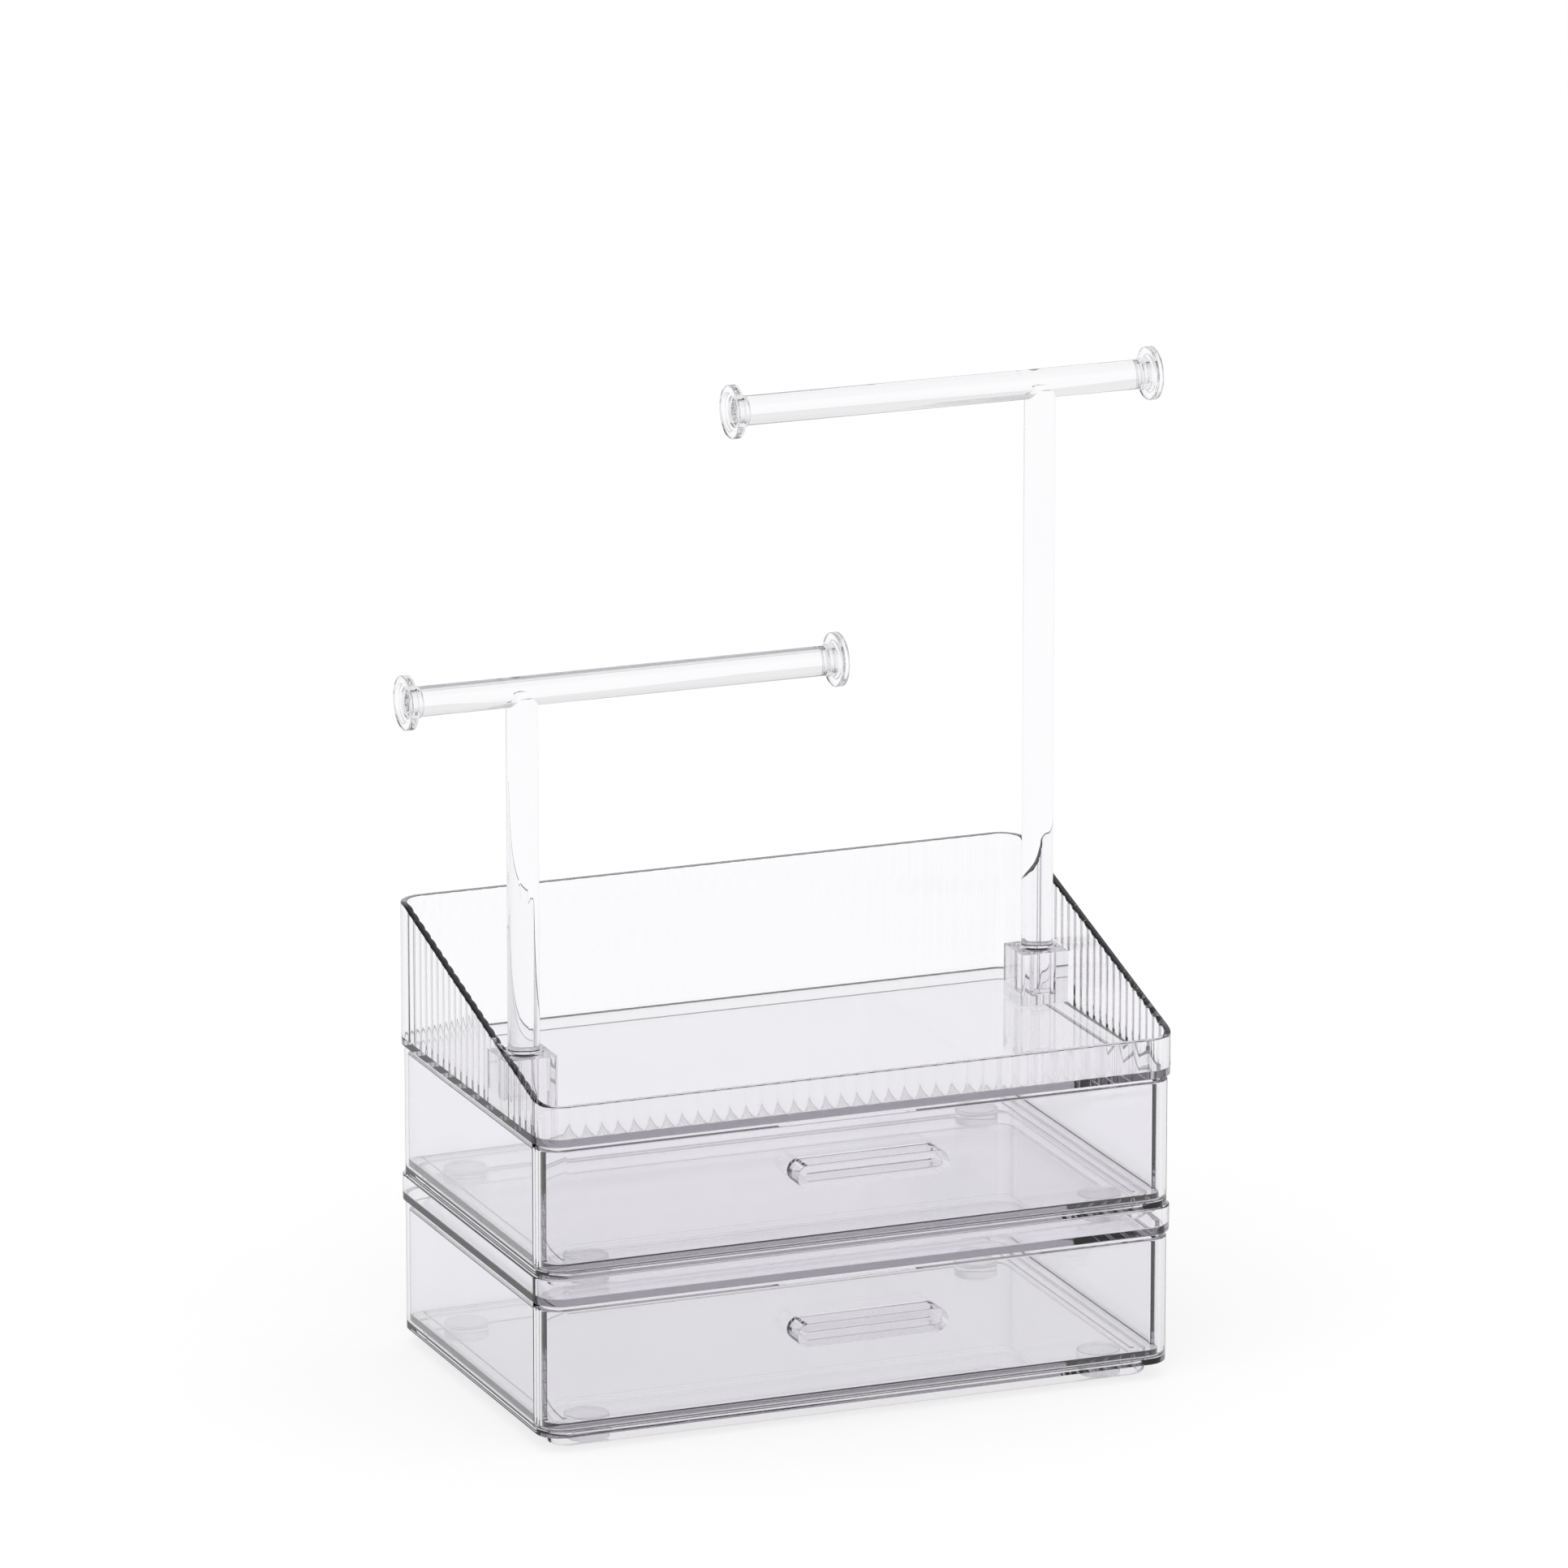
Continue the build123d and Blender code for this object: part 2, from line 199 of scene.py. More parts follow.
# ---- Drawer boxes -------------------------------------------------------------
# Clear moulded plastic shells, open in front and on top: base plate with a foot rim
# below it, three walls, and two thin ribs that the drawer slides on.
MM = 1000                               # millimetres in a metre
RIPPLE = 0.0004                         # metres
FLOW_SCALE, GRAIN_SCALE = 26.0, 900.0
GRAIN_RIPPLE, GRAIN_ROUGHNESS = 0.01, 0.006
COOL_SKIN, CLEAR_SKIN = (0.978, 0.975, 0.99, 1), (0.996, 0.993, 1, 1)
BODY_INDEX, BODY_GREY, BODY_DENSITY, BODY_WAVES = 1.5, (0.39, 0.35, 0.43), 10.0, 0.03
BOX_EDGE = 0.35
MERGE_WITHIN = 2e-6
LEVEL_WITHIN = 0.6                      # degrees
SHARP_FROM = 38                         # degrees


def clear_plastic(name, index, absorbed, density, waves):
    """Polished clear plastic: it darkens over long paths, and ripples a little."""
    material = bpy.data.materials.new(name)
    tree = new_tree(material)
    place = tree.node("ShaderNodeTexCoord", out="Object")
    flow = place.node("ShaderNodeTexNoise", None,
                      {"Vector": place, "Scale": FLOW_SCALE, "Detail": 1.0}, "Fac")
    grain = place.node("ShaderNodeTexNoise", None,
                       {"Vector": place, "Scale": GRAIN_SCALE, "Detail": 2.0}, "Fac")
    ripple = tree.node("ShaderNodeBump", None,
                       {"Strength": waves, "Distance": RIPPLE,
                        "Height": flow + grain * GRAIN_RIPPLE}, "Normal")
    skin_tint = tree.node("ShaderNodeMix", {"data_type": "RGBA"},
                          {0: flow, 6: COOL_SKIN, 7: CLEAR_SKIN}, 2)
    plastic = tree.node("ShaderNodeBsdfPrincipled", None, {
        "Base Color": skin_tint, "Roughness": grain * GRAIN_ROUGHNESS, "IOR": index,
        "Transmission Weight": 1.0, "Normal": ripple})
    body_tint = tree.node("ShaderNodeVolumeAbsorption", None,
                          {"Color": (*absorbed, 1), "Density": density})
    tree.node("ShaderNodeOutputMaterial", None, {"Surface": plastic, "Volume": body_tint})
    return material


def settle(piece, name, body, slot, material, *nodes):
    piece.name = piece.data.name = name
    piece.data.materials.clear()
    piece.data.materials.append(material)
    for face in piece.data.polygons:
        face.use_smooth = True
    piece.data.set_sharp_from_angle(angle=radians(SHARP_FROM))
    weights = piece.modifiers.new("flat_faces", "WEIGHTED_NORMAL")
    weights.mode = "FACE_AREA"
    weights.keep_sharp = True
    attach(piece, body)
    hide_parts(*nodes)
    return piece


def plain_mesh(piece):
    """Fixes a piece's modifiers into its mesh."""
    shape = piece.evaluated_get(bpy.context.evaluated_depsgraph_get())
    made = bpy.data.meshes.new_from_object(shape)
    piece.modifiers.clear()
    piece.data = made
    return piece


def rounded(piece, radius, angle=40, segments=3):
    """Small moulded radius on a piece's sharp edges."""
    edge = piece.modifiers.new("edge", "BEVEL")
    edge.width = radius / MM
    edge.segments = segments
    edge.limit_method = "ANGLE"
    edge.angle_limit = radians(angle)
    edge.use_clamp_overlap = True
    return plain_mesh(piece)


def copy_of_node(node):
    """A clean copy of a CAD node's mesh: joined up, with its flat faces whole."""
    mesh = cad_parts[node].data.copy()
    shape = bmesh.new()
    shape.from_mesh(mesh)
    bmesh.ops.remove_doubles(shape, verts=shape.verts, dist=MERGE_WITHIN)
    bmesh.ops.dissolve_limit(shape, angle_limit=radians(LEVEL_WITHIN), verts=shape.verts,
                             edges=shape.edges, use_dissolve_boundaries=False)
    shape.to_mesh(mesh)
    shape.free()
    return placed(node, mesh)


box_plastic = clear_plastic("box_plastic", BODY_INDEX, BODY_GREY, BODY_DENSITY, BODY_WAVES)
UNITS = ("lower", "upper")
for unit in UNITS:
    shell = rounded(copy_of_node(f"{unit}_housing"), BOX_EDGE)
    settle(shell, f"{unit}_drawer_box", f"{unit}_unit", "clear_plastic", box_plastic,
           f"{unit}_housing")


# ---- Pads ---------------------------------------------------------------------
# Four round silicone pads, cut from translucent white sheet and stuck under each
# base plate, inside the foot rim.
PAD_RADIUS = 7.8
PAD_ROUND = 0.5
GLUE_LINE = 0.05
SATIN_LEVEL, SATIN_SPECKLE = 0.04, 0.05
DOUBLED_WITHIN = 1e-6


def turned(name, profile, closed=False, steps=56):
    """A round piece, turned about Z from (radius, height) points in millimetres."""
    points = [(r * cos(2 * pi * k / steps), r * sin(2 * pi * k / steps), z)
              for r, z in profile for k in range(steps)]
    return skinned(name, points, steps, closed)


def skinned(name, points, count, closed=False):
    """A closed skin over rings of count points each, in millimetres, capped at both
    ends, or joined end to end if closed."""
    rings = len(points) // count
    faces = []
    for ring in range(rings if closed else rings - 1):
        low, high = ring * count, (ring + 1) % rings * count
        for k in range(count):
            after = (k + 1) % count
            faces.append((low + k, low + after, high + after, high + k))
    if not closed:
        faces.append(tuple(reversed(range(count))))
        faces.append(tuple(range(len(points) - count, len(points))))
    return solid(name, points, faces)


def solid(name, points, faces):
    """A closed mesh object from points in millimetres."""
    mesh = bpy.data.meshes.new(name)
    mesh.from_pydata([tuple(v / MM for v in p) for p in points], [], faces)
    return placed(name, faced_out(mesh))


def faced_out(mesh):
    """Joins a closed mesh's doubled points and turns its faces outwards."""
    shape = bmesh.new()
    shape.from_mesh(mesh)
    bmesh.ops.remove_doubles(shape, verts=shape.verts, dist=DOUBLED_WITHIN)
    bmesh.ops.recalc_face_normals(shape, faces=shape.faces)
    shape.to_mesh(mesh)
    shape.free()
    return mesh


def moved(piece, x=0.0, y=0.0, z=0.0):
    """Moves a piece's mesh, in metres, and leaves the object at the origin."""
    for vertex in piece.data.vertices:
        vertex.co += Vector((x, y, z))
    return piece


silicone = bpy.data.materials.new("silicone")
tree = new_tree(silicone)
place = tree.node("ShaderNodeTexCoord", out="Object")
speckle = place.node("ShaderNodeTexNoise", None,
                     {"Vector": place, "Scale": 1400.0, "Detail": 3.0}, "Fac")
satin = tree.node("ShaderNodeBump", None,
                  {"Strength": 0.3, "Distance": 0.0001, "Height": speckle}, "Normal")
tree.node("ShaderNodeOutputMaterial", None, {"Surface": tree.node(
    "ShaderNodeBsdfPrincipled", None,
    {"Base Color": tree.node("ShaderNodeMix", {"data_type": "RGBA"},
                             {0: speckle, 6: (0.96, 0.96, 0.97, 1), 7: (1, 1, 1, 1)}, 2),
     "Roughness": speckle * SATIN_SPECKLE + SATIN_LEVEL, "IOR": 1.41,
     "Transmission Weight": 0.95, "Normal": satin})})


def shaping_tree(name, result, **inputs):
    """A Geometry Nodes tree with named inputs and one resulting shape, still empty."""
    group = bpy.data.node_groups.new(name, "GeometryNodeTree")
    for label, kind in inputs.items():
        group.interface.new_socket(label, in_out="INPUT", socket_type=f"NodeSocket{kind}")
    group.interface.new_socket(result, in_out="OUTPUT", socket_type="NodeSocketGeometry")
    return group


# The tree sets one pad at each of the places that it is given.
pad_setting = shaping_tree("pad_setting", "Pads", Places="Geometry", Pad="Object",
                           Silicone="Material")
tree = Wire(pad_setting)
given = tree.node("NodeGroupInput", out="Places")
one_pad = tree.node("GeometryNodeObjectInfo", None, {"Object": given.also("Pad")}, "Geometry")
set_down = tree.node("GeometryNodeInstanceOnPoints", None,
                     {"Points": given, "Instance": one_pad}, "Instances")
real = tree.node("GeometryNodeRealizeInstances", None, {"Geometry": set_down})
tree.node("NodeGroupOutput", None, {"Pads": tree.node(
    "GeometryNodeSetMaterial", None, {"Geometry": real, "Material": given.also("Silicone")})})


def run_tree(piece, group, values):
    """Runs a Geometry Nodes tree on a piece and keeps the result as its mesh."""
    run = piece.modifiers.new(group.name, "NODES")
    run.node_group = group
    sockets = {socket.name: socket.identifier for socket in group.interface.items_tree
               if socket.in_out == "INPUT"}
    for name, value in values.items():
        run[sockets[name]] = value
    return plain_mesh(piece)


for unit in UNITS:
    low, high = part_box(f"{unit}_pads")
    pad_top = (high.z - low.z) * MM - GLUE_LINE
    pad = rounded(turned("pad", [(PAD_RADIUS, 0), (PAD_RADIUS, pad_top)]), PAD_ROUND)
    places = bpy.data.meshes.new("pad_places")
    reach_x = (high.x - low.x) / 2 - PAD_RADIUS / MM
    reach_y = (high.y - low.y) / 2 - PAD_RADIUS / MM
    middle_y = (high.y + low.y) / 2
    places.from_pydata([(sx * reach_x, middle_y + sy * reach_y, low.z)
                        for sx in (-1, 1) for sy in (-1, 1)], [], [])
    pads = placed("pads", places)
    run_tree(pads, pad_setting, {"Pad": pad, "Silicone": silicone})
    bpy.data.objects.remove(pad)
    settle(pads, f"{unit}_silicone_pads", f"{unit}_unit", "silicone", silicone, f"{unit}_pads")


# ---- Drawer tubs --------------------------------------------------------------
# The clear tub that holds the jewellery. It has no front wall of its own: its side
# walls stop just inside the turned ends of the drawer front.
CORNER_STEPS = 8


def outline(half_x, half_y, corner, steps=CORNER_STEPS):
    """Anticlockwise points round a rectangle with round corners, from the left end of
    the front-right corner to the right end of the front-left one. The corner is one
    radius, or four in that order."""
    corners = corner if isinstance(corner, tuple) else (corner,) * 4
    ring = []
    for quarter, (sx, sy) in enumerate(((1, -1), (1, 1), (-1, 1), (-1, -1))):
        r = corners[quarter]
        for k in range(steps + 1):
            turn = radians(90 * (quarter - 1 + k / steps))
            ring.append((sx * (half_x - r) + r * cos(turn), sy * (half_y - r) + r * sin(turn)))
    return ring


def measures(low, high):
    """Half the width, half the depth and the height of a box, in millimetres."""
    return (high.x - low.x) * MM / 2, (high.y - low.y) * MM / 2, (high.z - low.z) * MM


TUB_WALL = 1.9
TUB_FLOOR = 2.1
TUB_CORNER = 6.2
TUB_EDGE = 0.4
for unit in UNITS:
    low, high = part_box(f"{unit}_drawer_tub")
    half_x, half_y, top = measures(low, high)
    outside = outline(half_x, half_y, TUB_CORNER)
    inside = outline(half_x - TUB_WALL, half_y - TUB_WALL, TUB_CORNER - TUB_WALL)
    around, arc = len(outside), len(outside) // 4 - 1
    walled, run = slice(arc, around - arc), around - 2 * arc
    rings = ((outside, 0), (outside, TUB_FLOOR), (outside[walled], top), (inside[walled], top),
             (inside[walled], TUB_FLOOR))
    points = [(*p, z) for ring, z in rings for p in ring]
    edge = range(around, 2 * around)
    strips = [edge[walled]] + [range(2 * around + k * run, 2 * around + (k + 1) * run)
                               for k in range(3)]
    faces = [(k, (k + 1) % around, edge[(k + 1) % around], edge[k]) for k in range(around)]
    for below, above in zip(strips, strips[1:]):
        faces += [(below[k], below[k + 1], above[k + 1], above[k]) for k in range(run - 1)]
    faces += [tuple(strip[k] for strip in strips) for k in (0, -1)]
    faces += [tuple(reversed(range(around))),
              (*strips[3], *edge[around - arc - 1:], *edge[:arc + 1])]
    tub = moved(solid("tub", points, faces), 0, (low.y + high.y) / 2, low.z)
    settle(rounded(tub, TUB_EDGE), f"{unit}_tub", f"{unit}_drawer", "clear_plastic",
           box_plastic, f"{unit}_drawer_tub")

# ---- Drawer fronts and handles ------------------------------------------------
# A clear panel whose ends turn round the box's upright corners, so that no joint
# shows from in front. A pill-shaped ring for the fingertips is moulded on its own and
# welded to it on edge with solvent, which leaves no line between the two.
FRONT_PANEL = 2.7
FRONT_CORNER = 9.0
FRONT_EDGE = 0.4
HANDLE_WALL = 2.8
HANDLE_EDGE = 0.35
HANDLE_STEPS = 14
HANDLE_ROOT = 0.4           # points nearer the panel than this go into it
NEARLY = 0.01               # kept off a full half circle, so that no points meet
WELD = 0.3


def front_half(ring):
    """The points of an outline that lie round its front, left to right."""
    return ring[-CORNER_STEPS - 1:] + ring[:CORNER_STEPS + 1]


def welded(piece, other):
    """Joins another piece's mesh to this one, as a solvent weld does."""
    weld = piece.modifiers.new("weld", "BOOLEAN")
    weld.operation, weld.solver, weld.object = "UNION", "EXACT", other
    plain_mesh(piece)
    bpy.data.objects.remove(other)
    return piece


for unit in UNITS:
    low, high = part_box(f"{unit}_drawer_front")
    half_x, half_depth, top = measures(low, high)
    deep = 2 * FRONT_CORNER + 1         # any depth past the corners, for the outlines
    outer = front_half(outline(half_x, deep, FRONT_CORNER))
    inner = front_half(outline(half_x - FRONT_PANEL, deep - FRONT_PANEL,
                               FRONT_CORNER - FRONT_PANEL))
    end = 2 * half_depth - deep
    plan = [(-half_x, end)] + outer + [(half_x, end), (half_x - FRONT_PANEL, end)]
    plan += inner[::-1] + [(-half_x + FRONT_PANEL, end)]
    panel = skinned("panel", [(*p, z) for z in (0, top) for p in plan], len(plan))
    moved(rounded(panel, FRONT_EDGE), 0, low.y + deep / MM, low.z)

    low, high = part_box(f"{unit}_drawer_handle")
    half_x, half_reach, height = measures(low, high)
    half_z, reach = height / 2, 2 * half_reach
    outer = outline(half_x, half_z, half_z - NEARLY, HANDLE_STEPS)
    inner = outline(half_x - HANDLE_WALL, half_z - HANDLE_WALL, half_z - HANDLE_WALL - NEARLY,
                    HANDLE_STEPS)
    rings = ((outer, 0), (outer, reach), (inner, reach), (inner, 0))
    pull = skinned("pull", [(x, -out, z) for ring, out in rings for x, z in ring],
                   len(outer), closed=True)
    rounded(pull, HANDLE_EDGE)
    for vertex in pull.data.vertices:
        if vertex.co.y > -HANDLE_ROOT / MM:
            vertex.co.y = WELD / MM
    moved(pull, 0, high.y, (low.z + high.z) / 2)
    settle(welded(panel, pull), f"{unit}_front", f"{unit}_drawer", "clear_plastic",
           box_plastic, f"{unit}_drawer_front", f"{unit}_drawer_handle")

# ---- Low tray -----------------------------------------------------------------
# A clear tray with a low rim, glued on the lower box. The upper unit's foot rim
# drops inside it.
TRAY_WALL = 2.2
TRAY_FLOOR = 2.3
TRAY_CORNER = 10.0
TRAY_EDGE = 0.5
tray_plastic = clear_plastic("tray_plastic", BODY_INDEX, BODY_GREY, BODY_DENSITY, BODY_WAVES)
low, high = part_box("lower_tray")
half_x, half_y, rim = measures(low, high)
outside = outline(half_x, half_y, TRAY_CORNER)
inside = outline(half_x - TRAY_WALL, half_y - TRAY_WALL, TRAY_CORNER - TRAY_WALL)
tray = skinned("tray", [(*p, z) for ring, z in ((outside, 0), (outside, rim), (inside, rim),
                                                (inside, TRAY_FLOOR)) for p in ring],
               len(outside))
moved(tray, 0, (low.y + high.y) / 2, low.z)
settle(rounded(tray, TRAY_EDGE), "low_tray", "lower_unit", "clear_plastic", tray_plastic,
       "lower_tray")

# ---- Reeded tray --------------------------------------------------------------
# The deep clear tray, glued on the upper box: low in front, high behind, its side
# walls cut on a slant. Inside, upright reeds are moulded all round it.
REEDED_WALL = 2.5
REED_PITCH = 5.9
REED_HEIGHT = 0.45
REED_STEPS = 6
SLOPE_FROM, SLOPE_TO = -70.0, 64.5
SLOPE_FOOT, SLOPE_HEAD = 12.0, 16.0
FRONT_WALL_TOP, BACK_WALL_TOP = 14.35, 52.25
ROUND_STEPS = 10            # steps round each corner
SOCKET_REACH = 9.6          # no reeds this near to the middle of a stand's socket,
SOCKET_TOP = 21.45          # up to this height:
REEDS_START = 0.1           # over this much more they begin,
REEDS_KEPT = 1.0            # with at least this much left below the tray's edge
RIM_ROUND = 0.5
ROUND_CUT = 0.3             # how far the middle of a quarter round lies from its corner

low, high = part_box("upper_tray")
half_x, half_y, _ = measures(low, high)
middle_y = (low.y + high.y) / 2
socket_middles = {}
for side, stand in ((-1, "short"), (1, "tall")):
    box_low, box_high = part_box(f"{stand}_stand_socket")
    socket_middles[side] = ((box_low.y + box_high.y) / 2 - middle_y) * MM


def wall_top(y):
    """Height of the tray's edge at depth y: level, rounded into a slant, and back."""
    rise = (BACK_WALL_TOP - FRONT_WALL_TOP) / (SLOPE_TO - SLOPE_FROM)
    run = 1 / hypot(1, rise)
    bend = (1 - run) / (rise * run)
    foot, head = SLOPE_FROM - SLOPE_FOOT * bend, SLOPE_TO + SLOPE_HEAD * bend
    if y < foot:
        return FRONT_WALL_TOP
    if y < foot + SLOPE_FOOT * rise * run:
        return FRONT_WALL_TOP + SLOPE_FOOT - sqrt(SLOPE_FOOT ** 2 - (y - foot) ** 2)
    if y > head:
        return BACK_WALL_TOP
    if y > head - SLOPE_HEAD * rise * run:
        return BACK_WALL_TOP - SLOPE_HEAD + sqrt(SLOPE_HEAD ** 2 - (head - y) ** 2)
    return FRONT_WALL_TOP + (y - SLOPE_FROM) * rise


def reed_stations():
    """Round the tray: (outer point, inner point, way in, place along the reeds, whether
    a socket is near)."""
    flat_x, flat_y = half_x - TRAY_CORNER, half_y - TRAY_CORNER
    inner_r = TRAY_CORNER - REEDED_WALL
    stations = []
    for (ax, ay), (bx, by), (nx, ny) in (
            ((-flat_x, -half_y), (flat_x, -half_y), (0, 1)),
            ((half_x, -flat_y), (half_x, flat_y), (-1, 0)),
            ((flat_x, half_y), (-flat_x, half_y), (0, -1)),
            ((-half_x, flat_y), (-half_x, -flat_y), (1, 0))):
        reeds = round(hypot(bx - ax, by - ay) / REED_PITCH)
        for k in range(reeds * REED_STEPS + 1):
            t = k / (reeds * REED_STEPS)
            x, y = ax + (bx - ax) * t, ay + (by - ay) * t
            near_socket = nx and abs(y - socket_middles[1 if x > 0 else -1]) < SOCKET_REACH
            stations.append(((x, y), (x + nx * REEDED_WALL, y + ny * REEDED_WALL), (nx, ny),
                             k / REED_STEPS, near_socket))
        centre = (bx + nx * TRAY_CORNER, by + ny * TRAY_CORNER)
        for k in range(1, ROUND_STEPS):
            turn = radians(90 * k / ROUND_STEPS)
            ox = -nx * cos(turn) + ny * sin(turn)
            oy = -ny * cos(turn) - nx * sin(turn)
            stations.append(((centre[0] + TRAY_CORNER * ox, centre[1] + TRAY_CORNER * oy),
                             (centre[0] + inner_r * ox, centre[1] + inner_r * oy),
                             (-ox, -oy), 0.0, False))
    return stations


stations = reed_stations()
RINGS = ("base", "outer", "outer_round", "outer_rim", "inner_rim", "inner_round", "inner",
         "above_socket", "below_socket", "floor")
points, ways, phases = [], [], []
e, cut = RIM_ROUND, ROUND_CUT
for ring in RINGS:
    for (ox, oy), (ix, iy), (nx, ny), place, near_socket in stations:
        outer_top, inner_top = wall_top(oy), wall_top(iy)
        over = min(SOCKET_TOP + REEDS_START, inner_top - REEDS_KEPT)
        x, y, z = {
            "base": (ox, oy, 0.0),
            "outer": (ox, oy, outer_top - e),
            "outer_round": (ox + nx * e * cut, oy + ny * e * cut, outer_top - e * cut),
            "outer_rim": (ox + nx * e, oy + ny * e, outer_top),
            "inner_rim": (ix - nx * e, iy - ny * e, inner_top),
            "inner_round": (ix - nx * e * cut, iy - ny * e * cut, inner_top - e * cut),
            "inner": (ix, iy, inner_top - e),
            "above_socket": (ix, iy, over),
            "below_socket": (ix, iy, over - REEDS_START),
            "floor": (ix, iy, TRAY_FLOOR)}[ring]
        points.append((x, y, z))
        reeded = ring.startswith("inner") or ring == "above_socket" or (
            ring in ("below_socket", "floor") and not near_socket)
        ways.append((nx, ny, 0.0) if reeded else (0.0, 0.0, 0.0))
        phases.append(place)

count, last = len(stations), len(RINGS) - 1
reeded_tray = bpy.data.meshes.new("reeded_tray")
faces = [(r * count + k, r * count + (k + 1) % count,
          (r + 1) * count + (k + 1) % count, (r + 1) * count + k)
         for r in range(last) for k in range(count)]
faces += [tuple(reversed(range(count))), tuple(range(last * count, (last + 1) * count))]
reeded_tray.from_pydata([tuple(v / MM for v in p) for p in points], [], faces)
reeded_tray.attributes.new("way_in", "FLOAT_VECTOR", "POINT").data.foreach_set(
    "vector", [v for way in ways for v in way])
reeded_tray.attributes.new("reed", "FLOAT", "POINT").data.foreach_set("value", phases)

# The tree swells the inner wall into reeds: each is a low arc across its pitch.
reeding = shaping_tree("reeding", "Reeded", Wall="Geometry", Pitch="Float", Height="Float",
                       Plastic="Material")
tree = Wire(reeding)
given = tree.node("NodeGroupInput", out="Wall")
pitch, swell = given.also("Pitch"), given.also("Height")
along = tree.node("GeometryNodeInputNamedAttribute", {"data_type": "FLOAT"}, {"Name": "reed"},
                  "Attribute")
way = tree.node("GeometryNodeInputNamedAttribute", {"data_type": "FLOAT_VECTOR"},
                {"Name": "way_in"}, "Attribute")
across = (along.maths("FRACT") - 0.5) * pitch
arc_radius = (pitch * pitch * 0.25 + swell * swell).maths("DIVIDE", swell * 2)
lift = (arc_radius * arc_radius - across * across).maths("SQRT") - (arc_radius - swell)
shift = tree.node("ShaderNodeVectorMath", {"operation": "SCALE"}, {0: way, "Scale": lift})
moved_wall = tree.node("GeometryNodeSetPosition", None, {"Geometry": given, "Offset": shift})
real = tree.node("GeometryNodeRealizeInstances", None, {"Geometry": moved_wall})
tree.node("NodeGroupOutput", None, {"Reeded": tree.node(
    "GeometryNodeSetMaterial", None, {"Geometry": real, "Material": given.also("Plastic")})})

tray = placed("reeded_tray", reeded_tray)
reeded_plastic = clear_plastic("reeded_plastic", BODY_INDEX, BODY_GREY, BODY_DENSITY,
                               BODY_WAVES)
run_tree(tray, reeding, {"Pitch": REED_PITCH / MM, "Height": REED_HEIGHT / MM,
                         "Plastic": reeded_plastic})
moved(tray, 0, middle_y, low.z)
faced_out(tray.data)
settle(tray, "reeded_tray", "upper_unit", "clear_plastic", reeded_plastic, "upper_tray")

# ---- Stand sockets ------------------------------------------------------------
# Square clear blocks, one against each side wall, with a blind hole that a stand's
# peg drops into.
STANDS = (("short", -1), ("tall", 1))
BORE_DEPTH = 16.1
BORE_RADIUS = 4.2
SOCKET_CORNER = 1.2
FLUSH_CORNER = 0.06         # the two corners that lie against the tray's wall
SOCKET_STEPS = 14
SOCKET_EDGE = 0.4
SOCKET_DENSITY = 5.0
FINE_WAVES = 0.02
socket_plastic = clear_plastic("socket_plastic", BODY_INDEX, BODY_GREY, SOCKET_DENSITY,
                               FINE_WAVES)
for stand, side in STANDS:
    low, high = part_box(f"{stand}_stand_socket")
    collar_low, collar_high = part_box(f"{stand}_stand_collar")
    bore_x = ((collar_low.x + collar_high.x) - (low.x + high.x)) * MM / 2
    half_x, half_y, top = measures(low, high)
    free, flush = (SOCKET_CORNER, SOCKET_CORNER), (FLUSH_CORNER, FLUSH_CORNER)
    square = outline(half_x, half_y, free + flush if side < 0 else flush + free, SOCKET_STEPS)
    bore = []
    for x, y in square:
        away = hypot(x - bore_x, y)
        bore.append((bore_x + (x - bore_x) * BORE_RADIUS / away, y * BORE_RADIUS / away))
    rings = ((square, 0), (square, top), (bore, top), (bore, top - BORE_DEPTH))
    block = skinned("block", [(*p, z) for ring, z in rings for p in ring], len(square))
    moved(block, (low.x + high.x) / 2, (low.y + high.y) / 2, low.z)
    settle(rounded(block, SOCKET_EDGE, segments=2), f"{stand}_socket", "upper_unit",
           "clear_plastic", socket_plastic, f"{stand}_stand_socket")

# ---- Stand collars ------------------------------------------------------------
# Thin clear rings that lie loose on the sockets. Each stand's post turns in its
# ring and hides the hole.
COLLAR_BORE = 5.75
COLLAR_BEVEL = 0.4
COLLAR_EDGE = 0.12
ROD_INDEX, ROD_GREY, ROD_DENSITY = 1.49, (0.55, 0.54, 0.58), 3.0
rod_plastic = clear_plastic("rod_plastic", ROD_INDEX, ROD_GREY, ROD_DENSITY, FINE_WAVES)
for stand, _ in STANDS:
    low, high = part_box(f"{stand}_stand_collar")
    outer, _, height = measures(low, high)
    ring = turned("ring", [(COLLAR_BORE, 0), (outer, 0), (outer, height - COLLAR_BEVEL),
                           (outer - COLLAR_BEVEL, height), (COLLAR_BORE, height)], closed=True)
    moved(ring, (low.x + high.x) / 2, (low.y + high.y) / 2, low.z)
    settle(rounded(ring, COLLAR_EDGE, segments=2), f"{stand}_collar", f"{stand}_collar",
           "clear_rod", rod_plastic, f"{stand}_stand_collar")

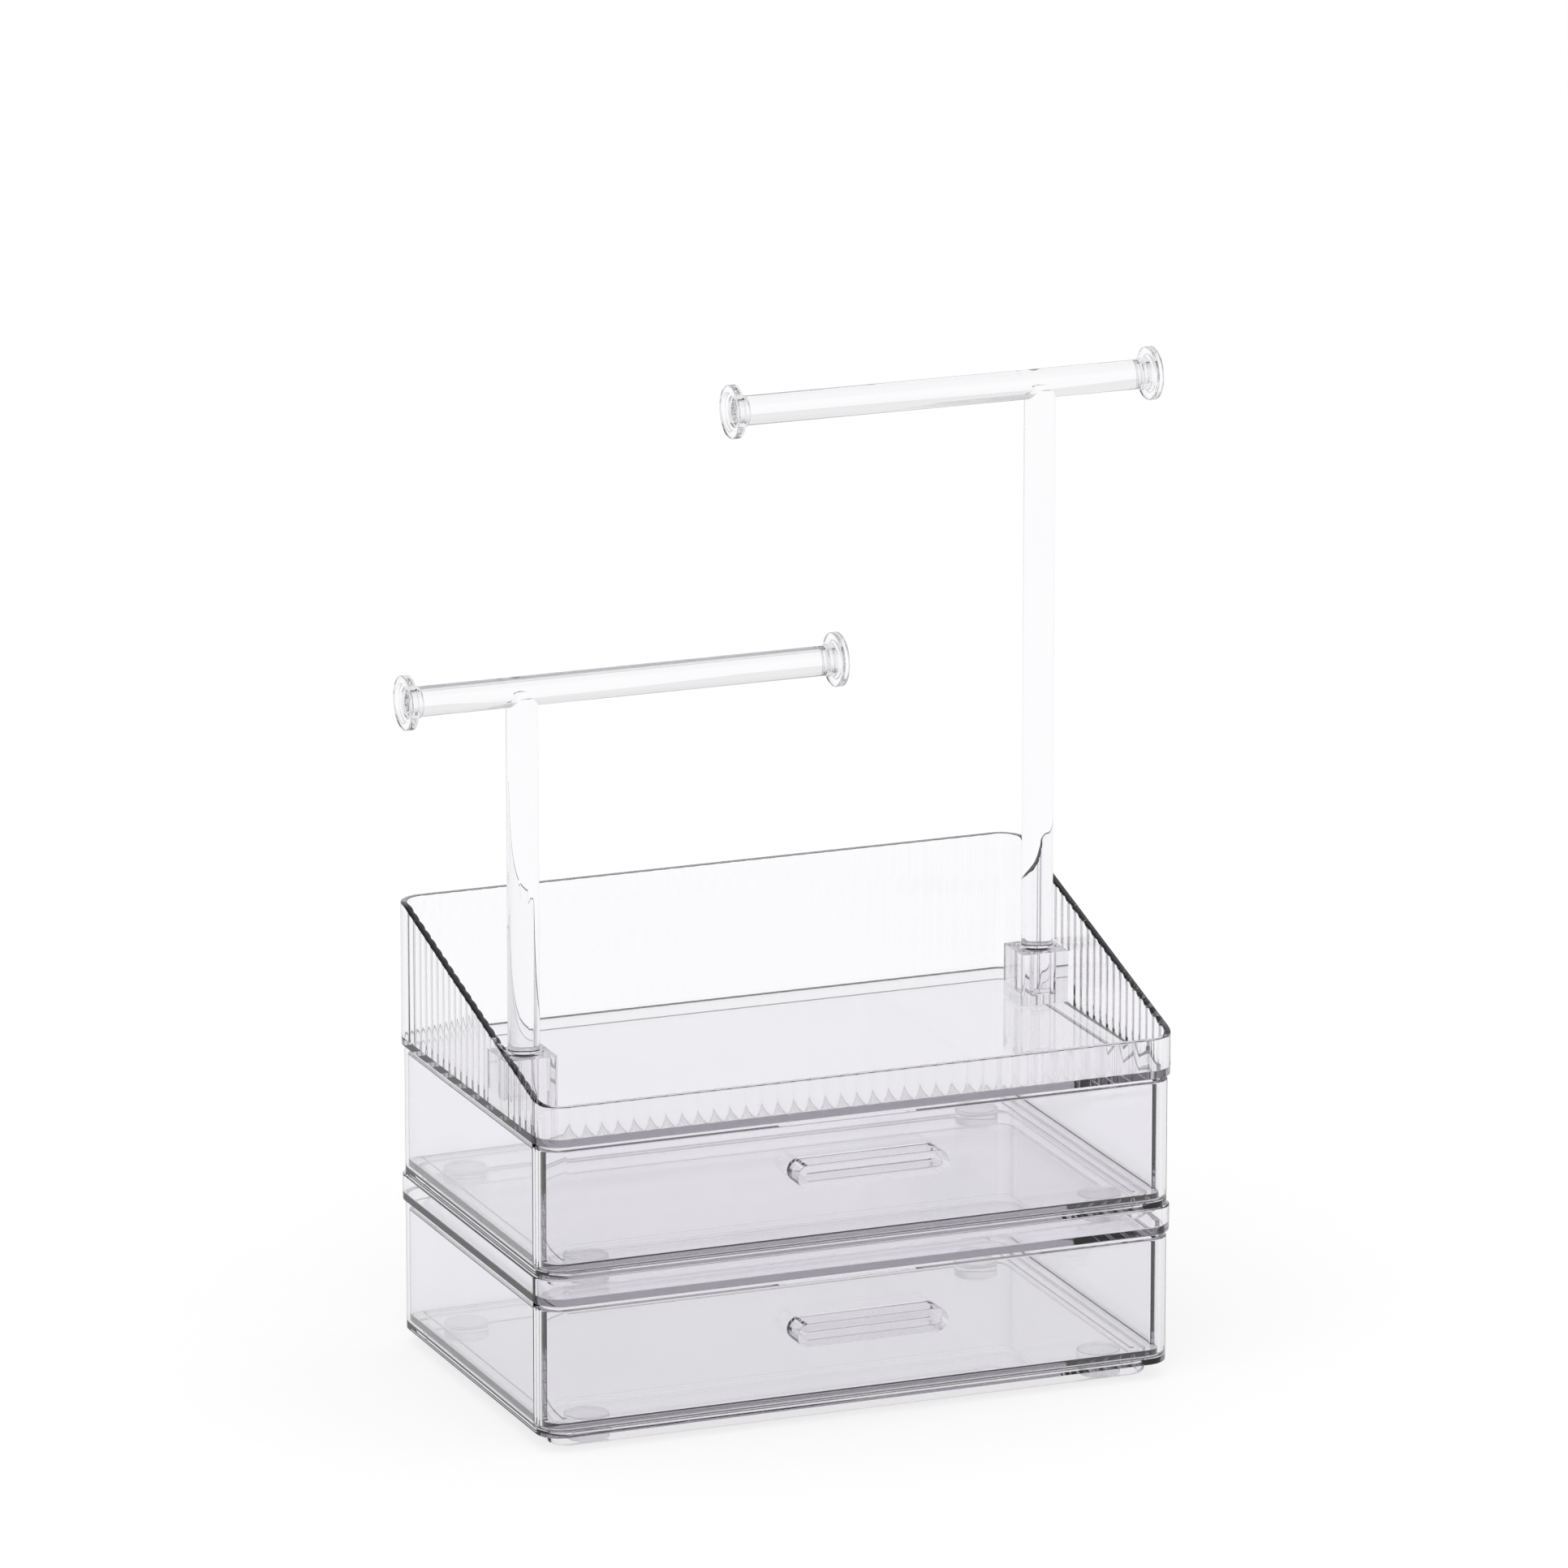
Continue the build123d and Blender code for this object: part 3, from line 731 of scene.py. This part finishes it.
# ---- Posts and cross bars -----------------------------------------------------
# Solid clear rods. The post's foot is turned down to a peg for the socket, and its
# head is welded to the underside of the bar that necklaces hang on. Each end of the
# bar is turned down to a spigot that the end cap is pushed over.
PEG_RADIUS = 4.1
PEG_LENGTH = 15.6
SADDLE_DROP = 1.5
BAR_RADIUS = 5.3
SPIGOT_RADIUS = 3.7
SPIGOT_LENGTH = 4.0
POST_EDGE, BAR_EDGE = 0.2, 0.25
for stand, _ in STANDS:
    low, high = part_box(f"{stand}_stand_post")
    bar_low, bar_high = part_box(f"{stand}_stand_bar")
    bar_z = ((bar_low.z + bar_high.z) / 2 - low.z) * MM
    radius = measures(low, high)[0]
    post = turned("post", [(PEG_RADIUS, 0), (PEG_RADIUS, PEG_LENGTH), (radius, PEG_LENGTH),
                           (radius, bar_z - SADDLE_DROP)])
    rounded(post, POST_EDGE, angle=50, segments=2)
    moved(post, (low.x + high.x) / 2, (low.y + high.y) / 2, low.z)

    length = 2 * measures(bar_low, bar_high)[0]
    bar = turned("bar", [(SPIGOT_RADIUS, 0), (SPIGOT_RADIUS, SPIGOT_LENGTH),
                         (BAR_RADIUS, SPIGOT_LENGTH), (BAR_RADIUS, length - SPIGOT_LENGTH),
                         (SPIGOT_RADIUS, length - SPIGOT_LENGTH), (SPIGOT_RADIUS, length)])
    rounded(bar, BAR_EDGE, segments=2)
    for vertex in bar.data.vertices:
        x, y, z = vertex.co
        vertex.co = (bar_low.x + z, (bar_low.y + bar_high.y) / 2 + y,
                     (bar_low.z + bar_high.z) / 2 - x)
    settle(welded(bar, post), f"{stand}_post_and_bar", f"{stand}_stand", "clear_rod",
           rod_plastic, f"{stand}_stand_post", f"{stand}_stand_bar")

# ---- End caps -----------------------------------------------------------------
# Clear flanged caps that keep chains on the bar: a disc with a shallow dish in its
# outer face, and a short neck over the bar's spigot.
FLANGE = 3.0
NECK_RADIUS = 5.7
NECK_LENGTH = 3.0
CAP_BORE = 3.8
DISH_RADIUS = 6.8
DISH_DEPTH = 1.1
CAP_EDGE = 0.4
for stand, side in STANDS:
    for end, outward in (("near", side), ("far", -side)):
        low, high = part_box(f"{stand}_{end}_cap")
        radius = measures(low, high)[2] / 2
        neck_end = -FLANGE / 2 - NECK_LENGTH
        cap = turned("cap", [(CAP_BORE, neck_end), (NECK_RADIUS, neck_end),
                             (NECK_RADIUS, -FLANGE / 2), (radius, -FLANGE / 2),
                             (radius, FLANGE / 2), (DISH_RADIUS, FLANGE / 2),
                             (DISH_RADIUS, FLANGE / 2 - DISH_DEPTH),
                             (CAP_BORE, FLANGE / 2 - DISH_DEPTH)], closed=True)
        face = high.x if outward > 0 else low.x
        for vertex in cap.data.vertices:
            x, y, z = vertex.co
            vertex.co = (face + outward * (z - FLANGE / 2 / MM),
                         (low.y + high.y) / 2 + y * outward, (low.z + high.z) / 2 - x)
        faced_out(cap.data)
        settle(rounded(cap, CAP_EDGE), f"{stand}_{end}_end_cap", f"{stand}_stand", "clear_rod",
               rod_plastic, f"{stand}_{end}_cap")
